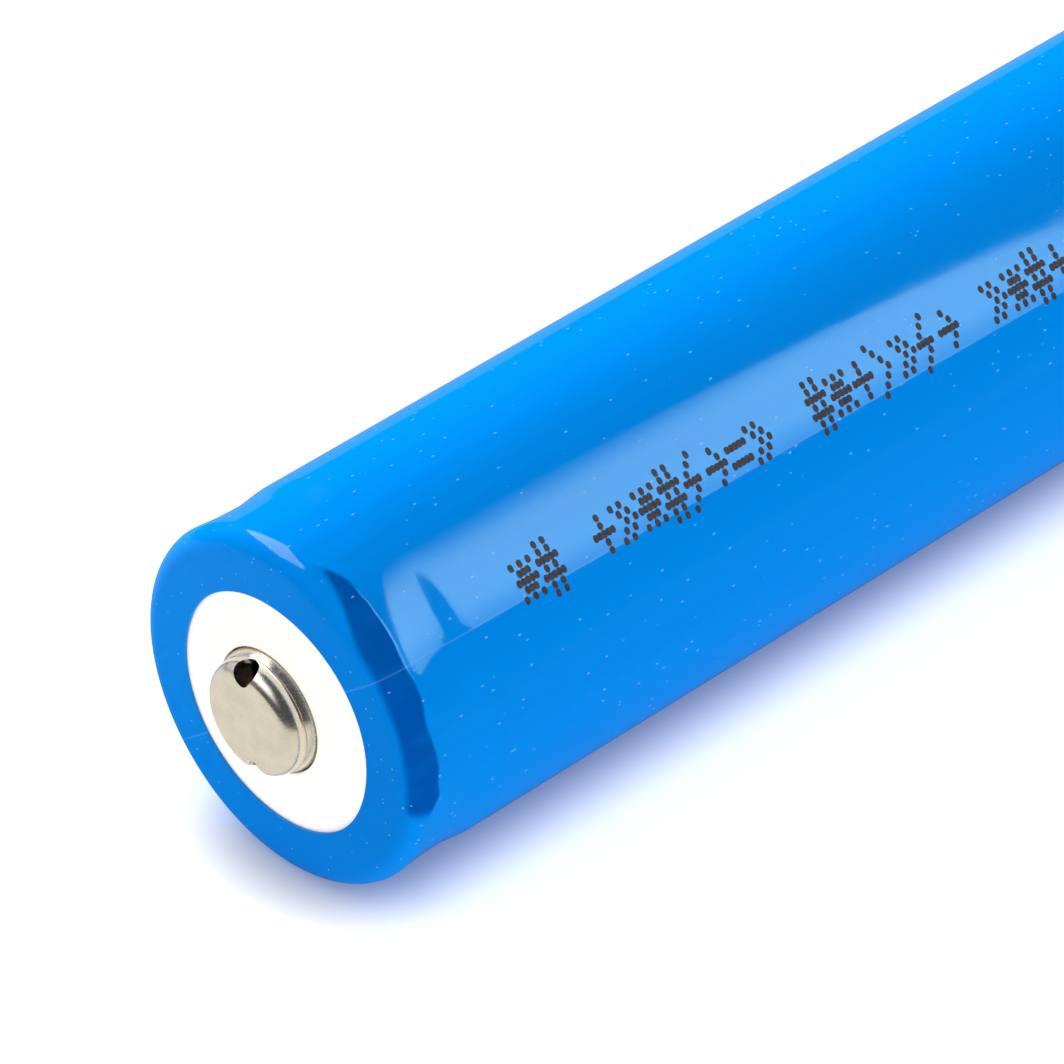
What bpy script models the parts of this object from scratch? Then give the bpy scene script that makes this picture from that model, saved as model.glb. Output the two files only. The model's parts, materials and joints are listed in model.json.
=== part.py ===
"""Button-top 18650 lithium-ion cell: can, crimped closure, wound electrodes, tabs and shrink sleeve.

The cell lies on its side, as on a table: its axis is parallel to Y, the positive button points to -Y,
and the sleeve touches Z = 0. Every piece is drawn in the cell's own frame, in which the axis is Z, the
negative end is at height 0 and the positive end is up; one empty lays that frame down.
"""

from math import cos, pi, radians, sin

import bmesh
import bpy

MM = 0.001

# Driving dimensions, in millimetres.
CELL_RADIUS = 9.2
BODY_LENGTH = 65.2
BUTTON_HEIGHT = 1.45
CLEARANCE = 0.05

FILM = 0.12
END_CORNER = 0.9
POSITIVE_LIP_RADIUS = 6.14
NEGATIVE_LIP_RADIUS = 6.0
WAIST_START = 2.0
WAIST_LENGTH = 3.4
WAIST_DEPTH = 0.16

CAN_WALL = 0.22
HEAD_STEP = 0.17
BEAD_DEPTH = 4.1
BEAD_RADIUS = 0.6
BEAD_SHOULDER = 0.3
CRIMP_RADIUS = 7.0
CONTACT_RADIUS = 5.85

WASHER_THICKNESS = 0.25
WASHER_HOLE = 3.23
WASHER_RISE = 0.22

CAP_SHEET = 0.3
FLANGE_RADIUS = 8.0
BUTTON_RADIUS = 2.95
BUTTON_CORNER = 0.75
BUTTON_BASE_RADIUS = 3.16
BUTTON_SHIFT = -0.33
VENT_RADIUS = 0.68
VENT_ANGLES = (97.0, 277.0)
VENT_REACH = 2.68
VENT_DROP = 0.35
VENT_TILT = 55.0
BUTTON_BASE_FILLET = 0.35

CORE_RADIUS = 1.7
WINDING_TURNS = 8
WINDING_PITCH = 0.84
SEPARATOR_SHEET = 0.05
CATHODE_SHEET = 0.33
ANODE_SHEET = 0.27
LAYER_GAP = 0.035
WINDING_BASE = 0.95
SEPARATOR_HEIGHT = 58.7
SHEET_OVERHANG = 0.6
WINDING_TAPE_BASE = 6.0
WINDING_TAPE_HEIGHT = 48.0
TAB_SHEET = 0.1
TAB_WIDTH = 2.4
TAB_BEND = 0.35
TAPE_SHEET = 0.04
CATHODE_TAPE_LENGTH = 2.9
ANODE_TAPE_LENGTH = 3.4

# Heights of the closure's stack above the negative end, in millimetres.
GASKET_FLOOR = 62.65
DISC_FLOOR = 62.7
PTC_FLOOR = 63.05
FLANGE_FLOOR = 63.35
GASKET_CEILING = 63.7
CONTACT_DISC_FLOOR = 61.15
CONTACT_DISC_TOP = 61.6

SEGMENTS = 36
WINDING_STEPS = 18
MERGE = 0.000002

# Worked out from the dimensions above.
OVERALL_LENGTH = BODY_LENGTH + BUTTON_HEIGHT
CAN_RADIUS = CELL_RADIUS - FILM - CLEARANCE
WASHER_TOP = BODY_LENGTH - FILM - CLEARANCE
CAN_TOP = WASHER_TOP - WASHER_THICKNESS - CLEARANCE
CAN_BASE = FILM + CLEARANCE
HEAD_RADIUS = CAN_RADIUS - HEAD_STEP
BEAD_HEIGHT = BODY_LENGTH - BEAD_DEPTH
BEAD_CENTRE_RADIUS = HEAD_RADIUS - BEAD_SHOULDER - 0.1
WINDING_TOP = WINDING_BASE + SEPARATOR_HEIGHT
FLAT_TO_CORNER = 1 / cos(pi / SEGMENTS)

# Mid-surface of each layer of the winding, outwards from where its turn starts.
INNER_SEPARATOR_LAYER = SEPARATOR_SHEET / 2
CATHODE_LAYER = SEPARATOR_SHEET + LAYER_GAP + CATHODE_SHEET / 2
OUTER_SEPARATOR_LAYER = CATHODE_LAYER + CATHODE_SHEET / 2 + LAYER_GAP + SEPARATOR_SHEET / 2
ANODE_LAYER = OUTER_SEPARATOR_LAYER + SEPARATOR_SHEET / 2 + LAYER_GAP + ANODE_SHEET / 2
TAPE_LAYER = SEPARATOR_SHEET + LAYER_GAP + SEPARATOR_SHEET / 2

# Steps of the winding at which its layers start and end. A tab takes the step after its foil's end.
TURN = WINDING_STEPS
CATHODE_STEPS = (TURN, 13 * TURN // 2 - 1)
ANODE_STEPS = (TURN // 2, 7 * TURN - 1)
INNER_SEPARATOR_STEPS = (0, WINDING_TURNS * TURN + 2)
OUTER_SEPARATOR_STEPS = (0, 7 * TURN + 2)
TAPE_STEPS = (7 * TURN + 4, 8 * TURN + 4)


def clear_scene():
    for old in list(bpy.data.objects):
        bpy.data.objects.remove(old, do_unlink=True)


def new_collection(name):
    collection = bpy.data.collections.new(name)
    bpy.context.scene.collection.children.link(collection)
    return collection


def cell_frame():
    """The empty that lays the cell down: its Z, the cell's axis, points to -Y."""
    empty = bpy.data.objects.new("cell_frame", None)
    empty.location = (0.0, OVERALL_LENGTH / 2 * MM, CELL_RADIUS * MM)
    empty.rotation_euler = (radians(90), 0.0, 0.0)
    PARTS.objects.link(empty)
    bpy.context.view_layer.update()
    return empty


def finish(name, colour, roughness, metallic=0.0):
    material = bpy.data.materials.new(name)
    material.use_nodes = True
    shader = material.node_tree.nodes["Principled BSDF"]
    shader.inputs["Base Color"].default_value = (*colour, 1.0)
    shader.inputs["Roughness"].default_value = roughness
    shader.inputs["Metallic"].default_value = metallic
    return material


def add_piece(name, mesh, material):
    piece = bpy.data.objects.new(name, mesh)
    PARTS.objects.link(piece)
    piece.parent = FRAME
    if material:
        mesh.materials.append(material)
    mesh.shade_smooth()
    mesh.set_sharp_from_angle(angle=radians(30))
    return piece


def arc(centre_radius, centre_height, radius, start, end, steps):
    """Points of an arc in a turned profile. 0 degrees points outwards and 90 degrees up."""
    points = []
    for step in range(steps + 1):
        angle = radians(start + (end - start) * step / steps)
        points.append((centre_radius + radius * cos(angle), centre_height + radius * sin(angle)))
    return points


def turned(name, profile, material, closed=True):
    """Turn a profile of (radius, height) points about the axis, with its flats on the true radius."""
    mesh = bpy.data.meshes.new(name)
    half_step = pi / SEGMENTS
    points = []
    for radius, height in profile:
        reach = radius * FLAT_TO_CORNER * MM
        points.append((reach * cos(half_step), reach * sin(half_step), height * MM))
    edges = [(i, i + 1) for i in range(len(points) - 1)]
    if closed:
        edges.append((len(points) - 1, 0))
    mesh.from_pydata(points, edges, [])
    piece = add_piece(name, mesh, material)
    screw = piece.modifiers.new("turn", "SCREW")
    screw.axis = "Z"
    screw.angle = 2 * pi
    screw.steps = SEGMENTS
    screw.render_steps = SEGMENTS
    screw.use_merge_vertices = True
    screw.merge_threshold = MERGE
    screw.use_smooth_shade = True
    return piece


def thicken(piece, thickness, offset=-1.0):
    """Give an open surface its sheet thickness, inwards from its outer face unless told otherwise."""
    solidify = piece.modifiers.new("sheet", "SOLIDIFY")
    solidify.thickness = thickness * MM
    solidify.offset = offset
    solidify.use_even_offset = True
    return piece


def apply_modifiers(piece):
    """Replace a piece's mesh with its evaluated shape, so that its points can be edited."""
    bpy.context.view_layer.update()
    evaluated = piece.evaluated_get(bpy.context.evaluated_depsgraph_get())
    mesh = bpy.data.meshes.new_from_object(evaluated)
    piece.modifiers.clear()
    piece.data = mesh
    return mesh


def cut(piece, cutter):
    """Cut a piece with a guide object, which stays in the cutters' collection."""
    CUTTERS.objects.link(cutter)
    cutter.parent = FRAME
    cutter.display_type = "WIRE"
    cutter.hide_render = True
    boolean = piece.modifiers.new("cut", "BOOLEAN")
    boolean.operation = "DIFFERENCE"
    boolean.solver = "EXACT"
    boolean.object = cutter


def drill(name, radius, length, location, tilt=(0.0, 0.0, 0.0)):
    """A round cutter along its own Z, centred on a place in the cell's frame."""
    mesh = bpy.data.meshes.new(name)
    shape = bmesh.new()
    bmesh.ops.create_cone(
        shape, cap_ends=True, segments=16, radius1=radius * MM, radius2=radius * MM, depth=length * MM
    )
    shape.to_mesh(mesh)
    shape.free()
    cutter = bpy.data.objects.new(name, mesh)
    cutter.location = [value * MM for value in location]
    cutter.rotation_euler = tilt
    return cutter


def slot(name, size, location):
    """A box cutter of the given size, centred on a place in the cell's frame."""
    mesh = bpy.data.meshes.new(name)
    shape = bmesh.new()
    bmesh.ops.create_cube(shape, size=1.0)
    bmesh.ops.scale(shape, vec=[value * MM for value in size], verts=shape.verts)
    shape.to_mesh(mesh)
    shape.free()
    cutter = bpy.data.objects.new(name, mesh)
    cutter.location = [value * MM for value in location]
    return cutter


def shift_inside(mesh, inside_radius, shift):
    """Move the points that lie within a radius of the axis sideways, so that a centre sits off the axis."""
    for vertex in mesh.vertices:
        if vertex.co.xy.length < inside_radius * MM:
            vertex.co.x += shift * MM


def make_outer_sleeve():
    """Shrink sleeve: a film tube that wraps over both ends and sinks a little over the can's bead."""
    top = BODY_LENGTH - END_CORNER
    corner = CELL_RADIUS - END_CORNER
    profile = [(POSITIVE_LIP_RADIUS, BODY_LENGTH)]
    profile += arc(corner, top, END_CORNER, 90, 0, 4)
    for step in range(7):
        sink = WAIST_DEPTH * sin(pi * step / 6) ** 2
        profile.append((CELL_RADIUS - sink, BODY_LENGTH - WAIST_START - WAIST_LENGTH * step / 6))
    profile += arc(corner, END_CORNER, END_CORNER, 0, -90, 4)
    profile.append((NEGATIVE_LIP_RADIUS, 0.0))
    sleeve = turned("outer_sleeve", profile, finish("sleeve_film", (0.0, 0.21, 0.8), 0.25), closed=False)
    return thicken(sleeve, FILM)


def make_top_insulator_washer():
    """White washer under the sleeve's lip. Its hole, round the button, stands a little proud."""
    outer = CELL_RADIUS - END_CORNER + 0.1
    dish = POSITIVE_LIP_RADIUS - 2 * CLEARANCE
    base = WASHER_TOP - WASHER_THICKNESS
    slope = [(WASHER_HOLE, WASHER_RISE), (4.2, WASHER_RISE * 0.6), (dish, 0.0)]
    top = [(radius, WASHER_TOP + rise) for radius, rise in slope]
    outside = [(outer, WASHER_TOP), (outer, base)]
    under = [(radius, base + rise) for radius, rise in reversed(slope)]
    card = finish("washer_card", (0.9, 0.88, 0.84), 0.7)
    washer = turned("top_insulator_washer", top + outside + under, card)
    shift_inside(apply_modifiers(washer), WASHER_HOLE + 0.1, BUTTON_SHIFT)
    return washer


def make_steel_can():
    """Deep-drawn can: crimped rim, rolled bead, straight wall, and a bottom with a proud contact disc."""
    rim = 0.78
    upper = BEAD_HEIGHT + BEAD_RADIUS
    lower = BEAD_HEIGHT - BEAD_RADIUS
    profile = [(CRIMP_RADIUS, CAN_TOP)]
    profile += arc(HEAD_RADIUS - rim, CAN_TOP - rim, rim, 90, 0, 3)
    profile += arc(HEAD_RADIUS - BEAD_SHOULDER, upper + BEAD_SHOULDER, BEAD_SHOULDER, 0, -90, 2)
    profile += arc(BEAD_CENTRE_RADIUS, BEAD_HEIGHT, BEAD_RADIUS, 90, 270, 4)
    profile += arc(CAN_RADIUS - BEAD_SHOULDER, lower - BEAD_SHOULDER, BEAD_SHOULDER, 90, 0, 2)
    profile += arc(CAN_RADIUS - END_CORNER, CAN_BASE + END_CORNER, END_CORNER, 0, -90, 3)
    profile += [(CONTACT_RADIUS + 0.1, CAN_BASE), (CONTACT_RADIUS, CLEARANCE), (0.0, CLEARANCE)]
    can = turned("steel_can", profile, finish("can_nickel", (0.62, 0.6, 0.56), 0.3, 1.0), closed=False)
    return thicken(can, CAN_WALL)


def make_crimp_gasket():
    """Plastic ring, C-shaped in section, that the rim squeezes round the closure's stack."""
    outer = HEAD_RADIUS - CAN_WALL - CLEARANCE
    inner = FLANGE_RADIUS + CLEARANCE
    shelf = BEAD_HEIGHT + BEAD_RADIUS + CAN_WALL + CLEARANCE
    top = CAN_TOP - CAN_WALL - CLEARANCE
    chamfer = 0.35
    profile = [
        (6.85, top),
        (outer - 0.55, top),
        (outer, top - 0.55),
        (outer, shelf + chamfer / 2),
        (outer - chamfer, shelf),
        (6.6, shelf),
        (6.6, GASKET_FLOOR),
        (inner, GASKET_FLOOR),
        (inner, GASKET_CEILING),
        (6.85, GASKET_CEILING),
    ]
    return turned("crimp_gasket", profile, finish("gasket_plastic", (0.75, 0.76, 0.74), 0.5))


def make_positive_cap():
    """Pressed cap: a flange held in the gasket and a vented button, drawn slightly off centre."""
    flange_top = FLANGE_FLOOR + CAP_SHEET
    crown = OVERALL_LENGTH
    profile = [(0.0, crown)]
    profile += arc(BUTTON_RADIUS - BUTTON_CORNER, crown - BUTTON_CORNER, BUTTON_CORNER, 90, 0, 4)
    profile += [(BUTTON_RADIUS + 0.06, BODY_LENGTH + 0.48), (BUTTON_BASE_RADIUS, BODY_LENGTH + 0.02)]
    fillet = BUTTON_BASE_FILLET
    profile += arc(BUTTON_BASE_RADIUS + fillet, flange_top + fillet, fillet, 180, 270, 2)
    profile.append((FLANGE_RADIUS, flange_top))
    cap = turned("positive_cap", profile, finish("cap_nickel", (0.72, 0.68, 0.6), 0.25, 1.0), closed=False)
    thicken(cap, CAP_SHEET)
    shift_inside(apply_modifiers(cap), 0.5 * (BUTTON_BASE_RADIUS + FLANGE_RADIUS), BUTTON_SHIFT)
    for number, degrees in enumerate(VENT_ANGLES, start=1):
        angle = radians(degrees)
        place = (BUTTON_SHIFT + VENT_REACH * cos(angle), VENT_REACH * sin(angle), crown - VENT_DROP)
        cut(cap, drill(f"vent_cutter_{number}", VENT_RADIUS, 1.6, place, (0.0, radians(VENT_TILT), angle)))
    return cap


def make_ptc_ring():
    """Resettable-fuse washer under the cap's flange."""
    top = FLANGE_FLOOR - CLEARANCE
    profile = [(5.2, top), (FLANGE_RADIUS, top), (FLANGE_RADIUS, PTC_FLOOR), (5.2, PTC_FLOOR)]
    return turned("ptc_ring", profile, finish("ptc_grey", (0.12, 0.12, 0.13), 0.6))


def make_rupture_disc():
    """Aluminium safety disc: a clamped rim, a dished middle with a ring score, and a weld boss."""
    top = PTC_FLOOR - CLEARANCE
    floor_top = top - 0.55
    floor_base = DISC_FLOOR - 0.55
    score = 3.2
    profile = [(0.0, floor_top - 0.2), (1.1, floor_top - 0.2), (1.4, floor_top)]
    profile += [(score - 0.1, floor_top), (score, floor_top - 0.1), (score + 0.1, floor_top)]
    profile += [(4.6, floor_top), (5.4, top), (FLANGE_RADIUS, top), (FLANGE_RADIUS, DISC_FLOOR)]
    profile += [(5.6, DISC_FLOOR), (4.8, floor_base), (1.55, floor_base), (1.25, floor_base - 0.23)]
    profile.append((0.0, floor_base - 0.23))
    return turned("rupture_disc", profile, finish("disc_aluminium", (0.8, 0.81, 0.82), 0.35, 1.0))


def make_cid_insulator_ring():
    """Plastic ring that keeps the safety disc and the contact disc apart, except at their weld."""
    top = DISC_FLOOR - 0.08
    shelf_top = top - 0.55
    shelf_base = CONTACT_DISC_TOP + CLEARANCE
    profile = [(5.68, top), (6.5, top), (6.5, CONTACT_DISC_FLOOR + CLEARANCE)]
    profile += [(6.08, CONTACT_DISC_FLOOR + CLEARANCE), (6.08, shelf_base), (4.4, shelf_base)]
    profile += [(4.4, shelf_top), (4.85, shelf_top)]
    return turned("cid_insulator_ring", profile, finish("cid_plastic", (0.35, 0.1, 0.06), 0.5))


def make_cid_contact_disc():
    """Aluminium disc with gas holes. The cathode tab joins its underside and the safety disc its nub."""
    profile = [(0.0, CONTACT_DISC_TOP + 0.27), (0.8, CONTACT_DISC_TOP + 0.27), (1.2, CONTACT_DISC_TOP)]
    profile += [(6.0, CONTACT_DISC_TOP), (6.0, CONTACT_DISC_FLOOR), (0.0, CONTACT_DISC_FLOOR)]
    disc = turned("cid_contact_disc", profile, finish("contact_aluminium", (0.78, 0.79, 0.8), 0.4, 1.0))
    holes = 6
    for number in range(holes):
        angle = 2 * pi * number / holes
        place = (3.0 * cos(angle), 3.0 * sin(angle), CONTACT_DISC_FLOOR)
        cut(disc, drill(f"contact_hole_cutter_{number + 1}", 0.6, 2.0, place))
    return disc


def winding_radius(step, layer):
    return CORE_RADIUS + WINDING_PITCH * step / WINDING_STEPS + layer


def wound_sheet(name, layer, thickness, steps, base, height, material):
    """One wound layer: a spiral wall with a point at each step, thickened both ways from its middle."""
    mesh = bpy.data.meshes.new(name)
    shape = bmesh.new()
    previous = None
    for step in range(steps[0], steps[1] + 1):
        angle = 2 * pi * (step + 0.5) / WINDING_STEPS
        radius = winding_radius(step, layer)
        ends = []
        for level in (base, base + height):
            ends.append(shape.verts.new((radius * cos(angle) * MM, radius * sin(angle) * MM, level * MM)))
        if previous:
            shape.faces.new((previous[0], ends[0], ends[1], previous[1]))
        previous = ends
    shape.to_mesh(mesh)
    shape.free()
    return thicken(add_piece(name, mesh, material), thickness, offset=0.0)


def make_winding():
    """Cathode, anode, two separators and the tape that holds the last turn."""
    separator = finish("separator_film", (0.86, 0.87, 0.88), 0.45)
    outer_separator = finish("outer_separator_film", (0.84, 0.86, 0.88), 0.45)
    cathode = finish("cathode_coating", (0.03, 0.03, 0.035), 0.75)
    anode = finish("anode_coating", (0.07, 0.07, 0.075), 0.7)
    tape = finish("winding_tape_green", (0.05, 0.35, 0.2), 0.35)
    wound_sheet(
        "separator_inner", INNER_SEPARATOR_LAYER, SEPARATOR_SHEET, INNER_SEPARATOR_STEPS,
        WINDING_BASE, SEPARATOR_HEIGHT, separator,
    )
    wound_sheet(
        "separator_outer", OUTER_SEPARATOR_LAYER, SEPARATOR_SHEET, OUTER_SEPARATOR_STEPS,
        WINDING_BASE, SEPARATOR_HEIGHT, outer_separator,
    )
    wound_sheet(
        "anode_sheet", ANODE_LAYER, ANODE_SHEET, ANODE_STEPS,
        WINDING_BASE + SHEET_OVERHANG, SEPARATOR_HEIGHT - 2 * SHEET_OVERHANG, anode,
    )
    wound_sheet(
        "cathode_sheet", CATHODE_LAYER, CATHODE_SHEET, CATHODE_STEPS,
        WINDING_BASE + 2 * SHEET_OVERHANG, SEPARATOR_HEIGHT - 4 * SHEET_OVERHANG, cathode,
    )
    wound_sheet(
        "winding_tape", TAPE_LAYER, SEPARATOR_SHEET, TAPE_STEPS,
        WINDING_TAPE_BASE, WINDING_TAPE_HEIGHT, tape,
    )


def tab_reach(foil_end, layer):
    """Distance from the axis to the middle of the flat step that follows a foil's end."""
    radius = (winding_radius(foil_end, layer) + winding_radius(foil_end + 1, layer)) / 2
    return radius * cos(pi / WINDING_STEPS)


def tab_strip(name, route, material):
    """Thin strip that follows a route of (x, height) points, thickened both ways from its middle."""
    mesh = bpy.data.meshes.new(name)
    shape = bmesh.new()
    previous = None
    for x, height in route:
        ends = [shape.verts.new((x * MM, side * TAB_WIDTH / 2 * MM, height * MM)) for side in (-1, 1)]
        if previous:
            shape.faces.new((previous[0], previous[1], ends[1], ends[0]))
        previous = ends
    shape.to_mesh(mesh)
    shape.free()
    return thicken(add_piece(name, mesh, material), TAB_SHEET, offset=0.0)


def tab_tape(name, reach, base, height, material):
    """Flat tube of insulating tape round a tab, open at both ends."""
    mesh = bpy.data.meshes.new(name)
    shape = bmesh.new()
    half_depth = TAB_SHEET / 2 + 0.8 * CLEARANCE + TAPE_SHEET
    half_width = TAB_WIDTH / 2 + CLEARANCE + TAPE_SHEET
    corners = []
    for x_side, y_side in ((-1, -1), (1, -1), (1, 1), (-1, 1)):
        corners.append((x_side * half_depth, y_side * half_width))
    rings = []
    for level in (base, base + height):
        rings.append([shape.verts.new(((reach + x) * MM, y * MM, level * MM)) for x, y in corners])
    for this, following in ((0, 1), (1, 2), (2, 3), (3, 0)):
        shape.faces.new((rings[0][this], rings[0][following], rings[1][following], rings[1][this]))
    shape.to_mesh(mesh)
    shape.free()
    return thicken(add_piece(name, mesh, material), TAPE_SHEET)


def make_tabs():
    """Cathode tab, up to the contact disc, and anode tab, down to the can, each with its tape."""
    aluminium = finish("tab_aluminium", (0.8, 0.81, 0.82), 0.4, 1.0)
    nickel = finish("tab_nickel", (0.66, 0.64, 0.6), 0.4, 1.0)
    kapton = finish("tab_tape_amber", (0.6, 0.25, 0.03), 0.3)
    kapton_low = finish("anode_tape_amber", (0.55, 0.22, 0.03), 0.3)

    reach = tab_reach(CATHODE_STEPS[1], CATHODE_LAYER)
    height = CONTACT_DISC_FLOOR - CLEARANCE - TAB_SHEET / 2
    bend = arc(TAB_BEND - reach, height - TAB_BEND, TAB_BEND, 180, 90, 3)
    tab_strip("cathode_tab", [(-reach, 8.0)] + bend + [(1.6, height)], aluminium)
    tape_base = WINDING_TOP - CLEARANCE - CATHODE_TAPE_LENGTH
    tab_tape("cathode_tab_tape", -reach, tape_base, CATHODE_TAPE_LENGTH, kapton)

    reach = tab_reach(ANODE_STEPS[1], ANODE_LAYER)
    height = CAN_BASE + CAN_WALL + CLEARANCE + TAB_SHEET / 2
    bend = arc(reach - TAB_BEND, height + TAB_BEND, TAB_BEND, 0, -90, 3)
    tab_strip("anode_tab", [(reach, 52.0)] + bend + [(-1.6, height)], nickel)
    tab_tape("anode_tab_tape", reach, 1.2, ANODE_TAPE_LENGTH, kapton_low)


def make_top_insulator_disc():
    """Card disc between the winding and the closure, with a tab slot, a centre hole and gas holes."""
    base = WINDING_TOP + 2 * CLEARANCE
    top = base + 0.3
    profile = [(1.7, top), (8.6, top), (8.6, base), (1.7, base)]
    disc = turned("top_insulator_disc", profile, finish("top_disc_card", (0.5, 0.42, 0.25), 0.7))
    reach = tab_reach(CATHODE_STEPS[1], CATHODE_LAYER)
    cut(disc, slot("tab_slot_cutter", (0.5, TAB_WIDTH + 0.4, 2.0), (-reach, 0.0, base)))
    for number, degrees in enumerate((-60, 0, 60), start=1):
        angle = radians(degrees)
        cut(disc, drill(f"gas_hole_cutter_{number}", 1.0, 2.0, (4.8 * cos(angle), 4.8 * sin(angle), base)))
    return disc


def make_bottom_insulator_disc():
    """Card disc between the winding and the anode tab, with a hole for the bottom weld."""
    base = CAN_BASE + CAN_WALL + 2 * CLEARANCE + TAB_SHEET + 0.05
    top = WINDING_BASE - CLEARANCE
    profile = [(1.5, top), (7.8, top), (7.8, base), (1.5, base)]
    return turned("bottom_insulator_disc", profile, finish("bottom_disc_card", (0.5, 0.42, 0.25), 0.7))


def make_centre_pin():
    """Rolled steel tube, slit along its length, that keeps the winding's middle open for gas."""
    mesh = bpy.data.meshes.new("centre_pin")
    shape = bmesh.new()
    previous = None
    steps = 16
    slit = 20.0
    for step in range(steps + 1):
        angle = radians(slit / 2 + (360 - slit) * step / steps)
        ends = []
        for level in (WINDING_BASE + 0.4, WINDING_TOP - 0.4):
            ends.append(shape.verts.new((1.5 * cos(angle) * MM, 1.5 * sin(angle) * MM, level * MM)))
        if previous:
            shape.faces.new((previous[0], ends[0], ends[1], previous[1]))
        previous = ends
    shape.to_mesh(mesh)
    shape.free()
    return thicken(add_piece("centre_pin", mesh, finish("pin_steel", (0.55, 0.55, 0.55), 0.35, 1.0)), 0.2)


clear_scene()
PARTS = new_collection("cylindrical_battery_cell")
CUTTERS = new_collection("cutters")
FRAME = cell_frame()

make_outer_sleeve()
make_top_insulator_washer()
make_steel_can()
make_crimp_gasket()
make_positive_cap()
make_ptc_ring()
make_rupture_disc()
make_cid_insulator_ring()
make_cid_contact_disc()
make_winding()
make_tabs()
make_top_insulator_disc()
make_bottom_insulator_disc()
make_centre_pin()
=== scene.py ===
"""Visual model of the button-top battery cell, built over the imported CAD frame.

The cell lies along Y with its positive button towards -Y. Every surface is drawn in the cell's own
coordinates: an angle round the axis (0 is +X, a quarter turn is +Z), a radius from the axis, and a depth
along the axis from the plane of the positive lip, negative where a surface stands proud of that plane.
Lengths are in millimetres until place() turns them into the frame's metres.
"""

import json
from math import copysign, cos, exp, pi, radians, sin, tau
import bpy
from mathutils import Matrix, Vector, noise


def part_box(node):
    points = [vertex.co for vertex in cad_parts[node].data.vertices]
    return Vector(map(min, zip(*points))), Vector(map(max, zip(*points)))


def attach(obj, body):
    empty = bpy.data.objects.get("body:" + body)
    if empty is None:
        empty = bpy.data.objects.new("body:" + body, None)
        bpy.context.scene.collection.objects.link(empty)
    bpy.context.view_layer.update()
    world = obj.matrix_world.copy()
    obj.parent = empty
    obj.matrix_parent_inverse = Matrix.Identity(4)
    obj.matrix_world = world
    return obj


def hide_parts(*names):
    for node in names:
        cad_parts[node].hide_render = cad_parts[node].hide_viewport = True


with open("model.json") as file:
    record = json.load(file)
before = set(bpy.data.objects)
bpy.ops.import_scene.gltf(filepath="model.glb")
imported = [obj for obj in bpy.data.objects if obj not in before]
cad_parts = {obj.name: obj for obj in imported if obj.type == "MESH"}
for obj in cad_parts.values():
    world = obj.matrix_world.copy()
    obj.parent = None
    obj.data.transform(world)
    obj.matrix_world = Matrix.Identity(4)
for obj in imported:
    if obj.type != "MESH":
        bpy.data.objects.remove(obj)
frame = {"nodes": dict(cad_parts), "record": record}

# Blender seeds its noise vectors from the clock, so a fixed seed makes every run the same.
noise.seed_set(1)

MM = 0.001
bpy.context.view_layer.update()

# The cell's place and main sizes, from the frame.
FILM_LOW, FILM_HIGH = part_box("outer_sleeve")
CAP_LOW, CAP_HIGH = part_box("positive_cap")
LIP_PLANE = FILM_LOW.y
AXIS = Vector(((FILM_LOW.x + FILM_HIGH.x) / 2, LIP_PLANE, (FILM_LOW.z + FILM_HIGH.z) / 2))
CELL_RADIUS = (FILM_HIGH.z - FILM_LOW.z) / 2 / MM
BODY_LENGTH = (FILM_HIGH.y - FILM_LOW.y) / MM
BUTTON_HEIGHT = (LIP_PLANE - CAP_LOW.y) / MM
FLANGE_RADIUS = (CAP_HIGH.z - CAP_LOW.z) / 2 / MM
FLANGE_DEPTH = (CAP_HIGH.y - LIP_PLANE) / MM
MOUNTS = {mount["name"]: mount for mount in frame["record"]["mounts"]}
BUTTON_SHIFT = (MOUNTS["positive_contact"]["pos_m"][0] - AXIS.x) / MM

# The film: its thickness, its rounded ends, the radius of its two openings, and its waist.
FILM = 0.12
END_CORNER = 0.9
POSITIVE_LIP = 6.14
NEGATIVE_LIP = 6.0
WAIST_CENTRE = 3.9
WAIST_END = 5.8
WAIST_DEPTH = 0.16

# The washer. Near its hole it rises towards the button's top.
WASHER_FACE = 0.17
WASHER_THICKNESS = 0.25
WASHER_RISE = 0.22
WASHER_RISE_WIDTH = 0.75
WASHER_HOLE = 3.23
WASHER_RADIUS = 8.4
WASHER_BEVEL = 0.06

# The cap. Each vent is a straight bore whose mouth widens, given by its rings' distance out along the bore
# and their radius in bore radii.
CAP_SHEET = 0.3
BUTTON_RADIUS = 2.95
BUTTON_CORNER = 0.75
VENT_RADIUS = 0.68
VENT_ANGLES = (97.0, 277.0)
VENT_REACH = 2.68
VENT_DROP = 0.35
VENT_TILT = radians(55.0)
VENT_RINGS = ((-0.9, 1.0), (0.03, 1.0), (0.4, 1.3), (1.2, 1.4))

# The rolled line round the button's foot, as (radius, depth).
BUTTON_FOOT = ((2.96, -0.57), (2.995, -0.53), (3.01, -0.49), (3.0, -0.45), (2.99, -0.42), (3.02, -0.35))

# The washer and the cap keep to the button's centre inside the first radius, and to the cell's outside
# the second.
SHIFTED_RADIUS = 3.4
CENTRED_RADIUS = 6.0


def smooth(low, high, value):
    """0 below low, 1 above high, and a smooth step between."""
    t = min(max((value - low) / (high - low), 0.0), 1.0)
    return t * t * (3 - 2 * t)


def band(value, rise_from, rise_to, fall_from, fall_to):
    """0 outside, 1 inside, and a smooth step at each end."""
    return smooth(rise_from, rise_to, value) * (1 - smooth(fall_from, fall_to, value))


def place(angle, radius, depth, shift=0.0):
    """The frame's point at an angle, radius and depth, moved along X by shift."""
    x = AXIS.x + (radius * cos(angle) + shift) * MM
    z = AXIS.z + radius * sin(angle) * MM
    return Vector((x, LIP_PLANE + depth * MM, z))


def add_object(name, mesh):
    made = bpy.data.objects.new(name, mesh)
    bpy.context.scene.collection.objects.link(made)
    return made


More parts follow.
